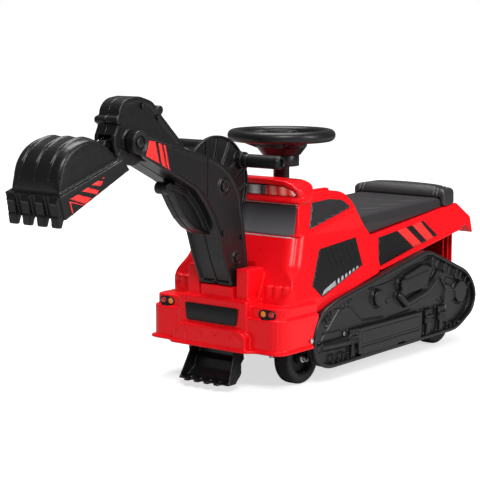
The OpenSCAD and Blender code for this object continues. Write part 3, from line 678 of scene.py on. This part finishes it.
# ---------- bucket ----------
def curve(pts, n=4):
    """Smooth curve through 2D points."""
    pts = [np.array(p, float) for p in pts]
    ends = [2 * pts[0] - pts[1]] + pts + [2 * pts[-1] - pts[-2]]
    out = []
    for a, b, c, d in zip(ends, ends[1:], ends[2:], ends[3:]):
        for t in np.linspace(0, 1, n, endpoint=False):
            out.append(tuple(0.5 * (2 * b + (c - a) * t + (2 * a - 5 * b + 4 * c - d) * t ** 2
                                    + (3 * b - a - 3 * c + d) * t ** 3)))
    return out + [tuple(pts[-1])]


TEETH = (-46, -15.3, 15.3, 46)
DOME = [(-760, 380), (-763, 400), (-757, 424), (-739, 444), (-714, 455), (-690, 458.5), (-671, 454),
        (-652, 445)]


def bucket_extra(bm):
    for x in (-31, 0, 31):
        path = [(x, y, z) for y, z in curve(DOME[2:-1])]
        add_bead(bm, path, 2.5)
        add_rod(bm, (x, *DOME[1]), path[0], 0.8, 12, 2.5)
    # rolled edge of the rim band
    for side in (-1, 1):
        add_bead(bm, [(side * 59, -765, 375), (side * 59, -628, 420.5)], 1.7)
        add_bead(bm, [(side * 59, -756, 341), (side * 59, -615, 406)], 1.7)
    add_bead(bm, [(-59, -765, 375), (59, -765, 375)], 1.7)


def bucket_carve(p, n):
    depth = np.zeros(len(p))
    band = (n[:, 1] < -0.5) & (p[:, 1] < -752) & (p[:, 2] > 343) & (p[:, 2] < 364)
    near = np.min([np.abs(p[:, 0] - x) for x in TEETH], axis=0)
    depth += np.where(band, 1.8 * step(9 - near, 1.5) * step(364 - p[:, 2], 2) * step(p[:, 2] - 343, 2), 0)
    return depth


def bucket_bend(p):
    """Draw the flat sides of the dome in towards its middle, for broad round edges."""
    mid = np.array([-698.0, 396.0])
    height = (p[:, 1] + 768) * -0.297 + (p[:, 2] - 374) * 0.955
    t = np.clip((np.abs(p[:, 0]) - 35) / 16, 0, 1)
    scale = 1 - 0.14 * (1 - np.sqrt(1 - t * t)) * step(height, 26)
    q = p.copy()
    q[:, 1:] = mid + (p[:, 1:] - mid) * scale[:, None]
    return q


bucket = mould(["bucket"], BLACK, 1.3, 6, bucket_extra, bucket_carve, None, bucket_bend)


# ---------- levers ----------
mould(["lever_left"], BLACK, 0.9, 2)
mould(["lever_right"], BLACK, 1.0, 4)


def grip_carve(node):
    lo, hi = (back_mm(v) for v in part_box(node))
    end = max(abs(lo[0]), abs(hi[0]))
    c = (lo + hi) / 2

    def carve(p, n):
        r = np.hypot(p[:, 1] - c[1], p[:, 2] - c[2])
        # dished end, and a shallow neck beside the lever
        dish = (np.abs(n[:, 0]) > 0.7) & (np.abs(p[:, 0]) > end - 3)
        dep = np.where(dish, 2.4 * step(10.5 - r, 2.5), 0)
        return dep + np.where(np.abs(n[:, 0]) < 0.5, groove(np.abs(np.abs(p[:, 0]) - 40), 1.6, 1.0), 0)
    return carve


for word in ("left", "right"):
    mould(["grip_" + word], GRIP, 0.9, 4, None, grip_carve("grip_" + word))


# ---------- crawler tracks ----------
TRACK_LINE = [(-199, 27), (240, 31), (300, 60), (312, 92), (300, 120), (274, 145), (143, 197), (119, 200),
              (-38, 170), (-173, 146), (-222, 129), (-244, 84), (-238, 45)]


def track_extra(side):
    def extra(bm):
        def x(v):
            return side * v

        def slab(outline, lo, hi):
            add_prism(bm, outline, min(x(lo), x(hi)), max(x(lo), x(hi)))
        # drive hub ring, hose block and bent pipe
        add_ring(bm, x(144), (-33, 131), 12.5, 3.2)
        add_rod(bm, (x(137), -33, 131), (x(143), -33, 131), 8)
        add_rod(bm, (x(138), 48, 145), (x(149), 48, 145), 11.5)
        slab(rounded([(44, 130), (132, 133), (152, 165), (120, 176), (46, 160)], 10), 137, 145.5)
        add_bead(bm, [(x(143), 37, 124), (x(143), 59, 107), (x(143), 128, 121), (x(143), 160, 139),
                      (x(141), 172, 152)], 7.5)
        # rear disc with its arm
        add_rod(bm, (x(137), 258, 104), (x(145.5), 258, 104), 20)
        slab(rounded([(196, 88), (240, 92), (238, 112), (205, 128)], 6), 137, 143)
        slab([(171, 155), (176, 157), (206, 121), (201, 118)], 137, 144)
        # tubes and fan ribs at the front
        add_rod(bm, (x(139), -214, 67), (x(139), -128, 64), 9)
        for i in range(4):
            add_bead(bm, [(x(139.5), -206 + 9 * i, 78 + 8 * i), (x(139.5), -150 + 11 * i, 128 + 3 * i)], 1.8)
        # brackets beside the foot board
        for y in (-115, 139, 186):
            slab(rounded([(y - 13, 58), (y + 13, 58), (y + 13, 86), (y - 13, 86)], 3), 137, 146)
            slab([(y - 7, 34), (y + 7, 34), (y + 5, 60), (y - 5, 60)], 137, 145)
            for k in (-8, 0, 8):
                add_rod(bm, (x(146), y + k, 60), (x(146), y + k, 84), 1.8, 10)
            add_rod(bm, (x(147), y - 12, 72), (x(147), y + 12, 72), 3.4, 12)
        # stiffening tabs inside the rim
        for y, z, a in ((160, 181, -22), (205, 163, -22), (250, 145, -22), (285, 124, -45), (-195, 125, 24)):
            u = np.array([math.cos(math.radians(a)), math.sin(math.radians(a))])
            for k in (-9, 9):
                c = np.array([y, z]) + u * k
                w = np.array([u[1], -u[0]])
                add_bead(bm, [(x(144), *(c + w * 1)), (x(144), *(c + w * 14))], 2.4)
            a0, a1 = np.array([y, z]) - u * 9, np.array([y, z]) + u * 9
            w = np.array([u[1], -u[0]]) * 13
            add_bead(bm, [(x(144), *(a0 + w)), (x(144), *(a1 + w))], 2.0)
        for y in (-170, -140, 215, 245):
            hoop = [(y - 8, 36), (y - 8, 46), (y + 8, 46), (y + 8, 36)]
            add_bead(bm, [(x(144), *p) for p in hoop], 2.0)
        # outer lip of the rim
        lip = rounded(TRACK_LINE, 22)
        ring = [(x(146.5), y, z) for y, z in lip] + [(x(146.5), *lip[0])]
        for p, q in zip(ring, ring[1:]):
            if (Vector(p) - Vector(q)).length > 0.05:
                add_rod(bm, p, q, 1.5, 8)
    return extra


def track_carve(p, n):
    yz = p[:, 1:]
    face = np.abs(n[:, 0]) > 0.6
    ax = np.abs(p[:, 0])
    depth = np.zeros(len(p))
    # floor steps down below the slanting line, and the foot board has a crease
    line = 75 + (yz[:, 0] + 170) * 35 / 450
    floor = face & (ax > 137.2) & (ax < 141)
    depth[floor] += (1.0 * step(line - yz[:, 1], 3))[floor]
    board = face & (ax > 147) & (np.abs(yz[:, 0]) < 108) & (yz[:, 1] < 88) & (yz[:, 1] > 34)
    depth[board] += groove(seg_dist(yz, (-98, 51), (98, 53)), 1.6, 1.0)[board]
    frame_line = [(-98, 56), (98, 58), (98, 80), (-98, 79)]
    depth[board] += groove(line_dist(yz, frame_line, True), 1.4, 0.8)[board]
    for y, z, r in ((-33, 131, 18.5), (258, 104, 24.5), (48, 145, 15)):
        ring = np.abs(np.hypot(yz[:, 0] - y, yz[:, 1] - z) - r)
        depth += np.where(face & (ax > 136) & (ax < 141), groove(ring, 1.8, 1.6), 0)
    seams = [[(-170, 130), (-120, 128), (-80, 96), (-10, 92)], [(-60, 152), (20, 158), (60, 170), (150, 184)],
             [(176, 100), (206, 84), (206, 62)], [(-205, 90), (-150, 90), (-128, 70)],
             [(196, 128), (214, 140), (246, 128)], [(64, 104), (128, 112), (150, 126)]]
    for seam in seams:
        depth += np.where(face & (ax > 136) & (ax < 141), groove(line_dist(yz, seam), 1.7, 1.5), 0)
    for y, z, r in ((2, 122, 6), (-194, 105, 6), (230, 138, 5), (-212, 62, 5)):
        dimple = 2.2 * step(r - np.hypot(yz[:, 0] - y, yz[:, 1] - z), 1.5)
        depth += np.where(face & (ax > 136) & (ax < 146), dimple, 0)
    return depth


for side, word in ((1, "left"), (-1, "right")):
    mould(["track_" + word], BLACK, 1.35, 3, track_extra(side), track_carve)


# ---------- front scoop ----------
def scoop_extra(bm):
    for x in (-33, -11, 11, 33):
        add_ball(bm, (x, -352, 15.5), 6.5, 1, 1.4, 0.55)
        add_box(bm, (x - 5, -372, 11.5), (x + 5, -360, 15.5))
    for side in (-1, 1):
        add_bead(bm, [(side * 54, -361, 16), (side * 49, -337, 66)], 1.8)


mould(["front_scoop"], BLACK, 1.3, 4, scoop_extra)


# ---------- road wheels ----------
def road_wheel(node):
    lo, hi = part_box(node)
    c = (lo + hi) / 2
    r0 = (hi.z - lo.z) / 2 / MM
    out = 1 if c.x > 0 else -1
    w = (hi.x - lo.x) / MM
    # profile from the inner bore round the tread to the outer bore: (across, radius, tread)
    prof = [(4, 5.2, 0), (4, 12, 0), (8, 13, 0), (8, 26, 0), (1.5, 30, 0), (0.2, 33, 0), (0.2, r0 - 6, 0),
            (1.2, r0 - 3, 0), (3.5, r0 - 1.2, 1), (6, r0 - 0.3, 1), (9, r0, 1), (13, r0, 1), (16, r0, 0),
            (19, r0, 1), (23, r0, 1), (26, r0 - 0.3, 1), (w - 3.5, r0 - 1.2, 1), (w - 1.2, r0 - 3, 0),
            (w - 0.2, r0 - 6, 0), (w - 0.2, r0 - 11, 0), (w - 0.8, 34, 0), (w - 2.0, 31, 0), (w - 4, 29, 0),
            (w - 10, 27.5, 0), (w - 12, 26, 0), (w - 12, 13, 0), (w - 5, 12, 0), (w - 5, 5.2, 0)]
    seg = 216
    bm = bmesh.new()
    rows = []
    for a, r, tread in prof:
        row = []
        for i in range(seg):
            t = 2 * math.pi * i / seg
            cut = 1.3 if tread and i % 3 == 0 else 0
            x = (a - w / 2) * out
            reach = (r - cut) * MM
            row.append(bm.verts.new((c.x + x * MM, c.y + reach * math.sin(t), c.z + reach * math.cos(t))))
        rows.append(row)
    for ra, rb in zip(rows, rows[1:] + rows[:1]):
        for i in range(seg):
            j = (i + 1) % seg
            bm.faces.new([ra[i], ra[j], rb[j], rb[i]])
    bmesh.ops.recalc_face_normals(bm, faces=bm.faces[:])
    me = bpy.data.meshes.new(node + "_tyre")
    bm.to_mesh(me)
    bm.free()
    ob = new_object(node + "_tread", me, TYRE, body_of(frame["nodes"][node])[0])
    ob.data.set_sharp_from_angle(angle=math.radians(38))
    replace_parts(ob, node)


for node in ("wheel_front_left", "wheel_front_right", "wheel_rear_left", "wheel_rear_right"):
    road_wheel(node)


# ---------- remaining CAD nodes: bevelled edges and finish ----------
HIDDEN = {n for ob in bpy.data.objects if "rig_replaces" in ob for n in ob["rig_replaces"]}
SLOT_OF = {s["node"]: s["material_slot"] for s in frame["record"]["subparts"]}
LOOK = {"red_plastic": RED, "seat_plastic": SEAT, "black_plastic": BLACK, "plate_black": FILM,
        "zinc_steel": STEEL}
DULL = node_material("dull_steel", (0.30, 0.30, 0.31), 0.42, bump=0.15, grain=700, metal=1.0, vary=0.2,
                     scuff=0.08)
DARK_BOLTS = {"base_bolt", "bucket_pin", "lug_pin", "pivot_bolts", "boom_screws", "stick_screws",
              "grip_screw_left", "grip_screw_right"}
WELD_M, EDGE_M = 0.00001, 0.0004
for name, ob in frame["nodes"].items():
    if name in HIDDEN:
        continue
    mat = LOOK[SLOT_OF[name]]
    if name in DARK_BOLTS:
        mat = BLACK
    if name == "track_screws":
        mat = DULL
    ob.data.materials.clear()
    ob.data.materials.append(mat)
    for poly in ob.data.polygons:
        poly.use_smooth = True
    weld = ob.modifiers.new("weld", "WELD")
    weld.merge_threshold = WELD_M
    bev = ob.modifiers.new("edge", "BEVEL")
    bev.width = EDGE_M
    bev.segments = 2
    bev.limit_method = "ANGLE"
    bev.angle_limit = math.radians(40)
    bev.harden_normals = True


# ---------- films and lamps ----------
SCREEN = shaded_film("screen_film", (0.016, 0.015, 0.018), (0.16, 0.16, 0.17), "Z", at(0, 0, 320).z,
                     at(0, 0, 258).z)
film("windscreen", rounded([(-107.5, 263), (107.5, 263), (106, 317), (-106, 317)], 4), "-y", front, SCREEN,
     "digger_body")
for k, (z, x) in enumerate(((318.2, 106.5), (261.4, 108))):
    strip = [(-x, z - 0.7), (x, z - 0.7), (x, z + 0.7), (-x, z + 0.7)]
    film("screen_line_%d" % k, strip, "-y", front, SILVER, "digger_body", 0.45)
FLARE = shaded_film("lamp_print_grey", (0.05, 0.05, 0.05), (0.80, 0.78, 0.78), "X", -0.06, 0.02, bands=9)
GLOW = shaded_film("lamp_print_red", (0.75, 0.02, 0.02), (1.0, 0.33, 0.27), "X", -0.10, 0.08, bands=14)
LAMPS = [(106.5, 332), (107, 337), (100, 343.5), (80, 349.5), (41, 351.5)]
outline = LAMPS + [(-x, z) for x, z in LAMPS[::-1]]
film("lamp_print_outline", outline[::-1], "-y", front, FILM, "digger_body", 0.4)
film("lamp_print_middle", [(-37.5, 333), (37.5, 333), (37.5, 350), (-37.5, 350)], "-y", front, FLARE,
     "digger_body", 0.7)
for side, word in ((1, "left"), (-1, "right")):
    shape = [(39.5, 333), (105, 333), (105, 336.5), (99, 342.3), (79.5, 348.2), (39.5, 350)]
    film("lamp_print_" + word, shape if side > 0 else flip(shape), "-y", front, GLOW, "digger_body", 0.7)

WINDOW = rounded([(-197, 319), (-143, 321), (-104, 316), (-83, 303), (-85, 299.5), (-162, 283.5),
                  (-212, 273.5)], 5)
GRILLE = [(-191, 237), (-76, 246), (-67, 195), (-202, 155), (-227, 177)]
BAR = [(-203, 157), (-194, 166), (-158, 178), (-156, 170)]
FENDER = {"fender_black": ([(4, 236), (69.5, 242), (117, 205.3), (-8, 184)], FILM),
          "fender_red_a": ([(71, 242), (101, 244.5), (147, 210), (118.5, 205.5)], STRIPE),
          "fender_black_b": ([(102.5, 245), (123, 247), (165, 212.3), (148.5, 210.2)], FILM),
          "fender_red_b": ([(124.5, 247), (154, 250.5), (192, 217), (166.5, 212.5)], STRIPE),
          "fender_black_c": ([(155.5, 250.7), (165, 251), (207, 219), (193.5, 217.3)], FILM)}
for side, word in ((1, "left"), (-1, "right")):
    facing = "+x" if side > 0 else "-x"
    film("side_window_" + word, WINDOW, facing, front, GLASSY, "digger_body")
    film("grille_" + word, GRILLE, facing, front, FILM, "digger_body", 0.4)
    film("grille_bar_" + word, BAR, facing, front, SILVER, "digger_body", 0.8)
    for i in range(6):
        y = -152 + 12.5 * i
        z = 171 + 3.7 * i
        h = 8 - 0.9 * i
        tooth = [(y, z), (y + 9, z + 2.6), (y + 7.5, z + 2.6 + h), (y + 3, z + 1.2 + h)]
        film("grille_tooth_%s_%d" % (word, i), tooth, facing, front, SILVER, "digger_body", 0.8)
    for i in range(6):
        y = -170 + 15.4 * i
        rib = [(y, 235.5 + 1.4 * i), (y + 3, 235.7 + 1.4 * i), (y + 13.5, 201 + 1.2 * i),
               (y + 10.5, 201 + 1.2 * i)]
        film("grille_rib_%s_%d" % (word, i), rib, facing, front, FILM, "digger_body", 1.1, thick=0.9)
    for key, (shape, mat) in FENDER.items():
        film(key + "_" + word, shape, facing, rear, mat, "digger_body")
    # red bars on the arm and on the bucket
    boom = booms[side]
    panel = [(-541, 447), (-392, 409), (-392, 341), (-420, 362), (-453, 378), (-500, 399), (-549, 421)]
    film("boom_film_" + word, panel, facing, boom, FILM, "digger_body", 0.35)
    for k, shape in enumerate(([(-541, 446), (-525, 443), (-515, 406), (-549, 421)],
                               [(-518, 440.5), (-510, 438), (-498, 397.5), (-510, 403)],
                               [(-505, 436.5), (-500, 435), (-490, 393.5), (-496, 396.5)])):
        film("boom_bar_%s_%d" % (word, k), shape, facing, boom, STRIPE, "digger_body", 0.7)
    film("bucket_film_" + word, [(-749, 371), (-671.5, 399.5), (-742, 345)], facing, bucket, FILM,
         "digging_bucket", 0.4)
    for k, shape in enumerate(([(-748.5, 368), (-712, 358.8), (-741.5, 346)],
                               [(-747, 371.3), (-729, 376.5), (-694, 367), (-709.5, 359.5)],
                               [(-721, 381), (-708, 385.5), (-683.5, 379), (-688.5, 373)],
                               [(-700, 388.6), (-685, 394), (-674, 392.5), (-679.5, 385)],
                               [(-677, 397), (-672, 399), (-672, 396)])):
        film("bucket_bar_%s_%d" % (word, k), shape, facing, bucket, STRIPE, "digging_bucket", 0.7)
    film("bucket_dark_" + word, [(-745, 365.4), (-718, 358.7), (-740, 349.3)], facing, bucket, FILM,
         "digging_bucket", 0.95)


def lamp(name, x, z, mat, r, seg=28):
    """Domed lens bedded on the bumper; its profile is given as share of r and height in mm."""
    hit, nrm, _, _ = tree(front).ray_cast(at(x, -FAR_Y, z), Vector((0, 1, 0)))
    bm = bmesh.new()
    u = nrm.orthogonal().normalized()
    w = nrm.cross(u)
    rows = []
    for rad, h in ((1.0, -0.5), (1.0, 0.6), (0.9, 1.2), (0.7, 1.75), (0.4, 2.15), (0.12, 2.3)):
        row = []
        for i in range(seg):
            t = 2 * math.pi * i / seg
            out = u * math.cos(t) + w * math.sin(t)
            row.append(bm.verts.new(hit + out * rad * r * MM + nrm * h * MM))
        rows.append(row)
    for ra, rb in zip(rows, rows[1:]):
        for i in range(seg):
            bm.faces.new([ra[i], ra[(i + 1) % seg], rb[(i + 1) % seg], rb[i]])
    bm.faces.new(rows[0][::-1])
    bm.faces.new(rows[-1])
    bmesh.ops.recalc_face_normals(bm, faces=bm.faces[:])
    me = bpy.data.meshes.new(name)
    bm.to_mesh(me)
    bm.free()
    new_object(name, me, mat, "digger_body")


for side, word in ((1, "left"), (-1, "right")):
    pill = [(113 + 18 * math.copysign(1, math.cos(t)) * abs(math.cos(t)) ** 0.5, 139 + 8.2 * math.sin(t))
            for t in np.linspace(0, 2 * math.pi, 33)[:-1]]
    pill = pill if side > 0 else flip(pill)
    film("lamp_bed_" + word, pill, "-y", front, FILM, "digger_body", 0.6, 4)
    lamp("lamp_amber_" + word, side * 104.5, 139, AMBER, 5.6)
    lamp("lamp_red_" + word, side * 121.5, 139, RUBY, 5.6)


# ---------- stage ----------
FLOOR_HALF, FLOOR_DROP = 8.0, 0.0006
CONTACT_R, CLEAR_R = 0.5, 1.1
SHADE_KEPT, WORLD_LIGHT = 0.66, 0.16


def stage():
    mat = node_material("pale_floor", (0.55, 0.55, 0.55), 0.8, bump=0.02, grain=60, vary=0.01, spec=0.1)
    me = bpy.data.meshes.new("floor")
    bm = bmesh.new()
    bmesh.ops.create_grid(bm, x_segments=4, y_segments=4, size=FLOOR_HALF)
    bm.to_mesh(me)
    bm.free()
    floor = bpy.data.objects.new("floor", me)
    bpy.context.scene.collection.objects.link(floor)
    me.materials.append(mat)
    floor.location.z = -FLOOR_DROP
    # lift the floor towards white for the camera only, less near the vehicle so that a soft
    # contact shadow stays
    t = mat.node_tree
    path = t.nodes.new("ShaderNodeLightPath")
    place = t.nodes.new("ShaderNodeNewGeometry")
    reach = t.nodes.new("ShaderNodeVectorMath")
    reach.operation = "LENGTH"
    t.links.new(place.outputs["Position"], reach.inputs[0])
    fade = t.nodes.new("ShaderNodeMapRange")
    fade.inputs["From Min"].default_value = CONTACT_R
    fade.inputs["From Max"].default_value = CLEAR_R
    fade.inputs["To Min"].default_value = SHADE_KEPT
    fade.inputs["To Max"].default_value = 1.0
    t.links.new(reach.outputs["Value"], fade.inputs["Value"])
    glow = t.nodes.new("ShaderNodeMath")
    glow.operation = "MULTIPLY"
    t.links.new(path.outputs["Is Camera Ray"], glow.inputs[0])
    t.links.new(fade.outputs["Result"], glow.inputs[1])
    shader = t.nodes["Principled BSDF"]
    shader.inputs["Emission Color"].default_value = (1, 1, 1, 1)
    t.links.new(glow.outputs["Value"], shader.inputs["Emission Strength"])
    world = bpy.data.worlds.new("studio")
    bpy.context.scene.world = world
    world.use_nodes = True
    wt = world.node_tree
    bg = wt.nodes["Background"]
    bg.inputs["Color"].default_value = (1, 1, 1, 1)
    seen = wt.nodes.new("ShaderNodeLightPath")
    pick = wt.nodes.new("ShaderNodeMapRange")
    pick.inputs["To Min"].default_value = WORLD_LIGHT
    pick.inputs["To Max"].default_value = 1.0
    wt.links.new(seen.outputs["Is Camera Ray"], pick.inputs["Value"])
    wt.links.new(pick.outputs["Result"], bg.inputs["Strength"])

    def area(name, loc, target, size, power):
        d = bpy.data.lights.new(name, "AREA")
        d.shape = "RECTANGLE"
        d.size, d.size_y = size
        d.energy = power
        o = bpy.data.objects.new(name, d)
        bpy.context.scene.collection.objects.link(o)
        o.location = loc
        o.rotation_euler = (Vector(target) - Vector(loc)).to_track_quat("-Z", "Y").to_euler()
    area("key", (1.7, -1.7, 2.3), (0, -0.1, 0.2), (1.1, 0.7), 56)
    area("side", (2.8, 0.6, 1.3), (0, 0.1, 0.2), (0.6, 1.5), 42)
    area("top", (-0.3, 0.3, 2.6), (0, 0, 0.2), (1.8, 1.2), 66)


stage()

# ---------- camera: angles in degrees, place in mm from the datum, lens and sensor in mm ----------
AZ, EL = math.radians(38.54), math.radians(8.01)
CAM_AT = (1728, -2431, 641)
CAM_LENS, CAM_SENSOR = 118.65, 36
back = Vector((math.sin(AZ) * math.cos(EL), -math.cos(AZ) * math.cos(EL), math.sin(EL)))
cam_data = bpy.data.cameras.new("camera")
cam_data.lens = CAM_LENS
cam_data.sensor_width = CAM_SENSOR
cam = bpy.data.objects.new("camera", cam_data)
bpy.context.scene.collection.objects.link(cam)
cam.location = at(*CAM_AT)
cam.rotation_euler = back.to_track_quat("Z", "Y").to_euler()
bpy.context.scene.camera = cam
bpy.context.scene.view_settings.view_transform = "Standard"
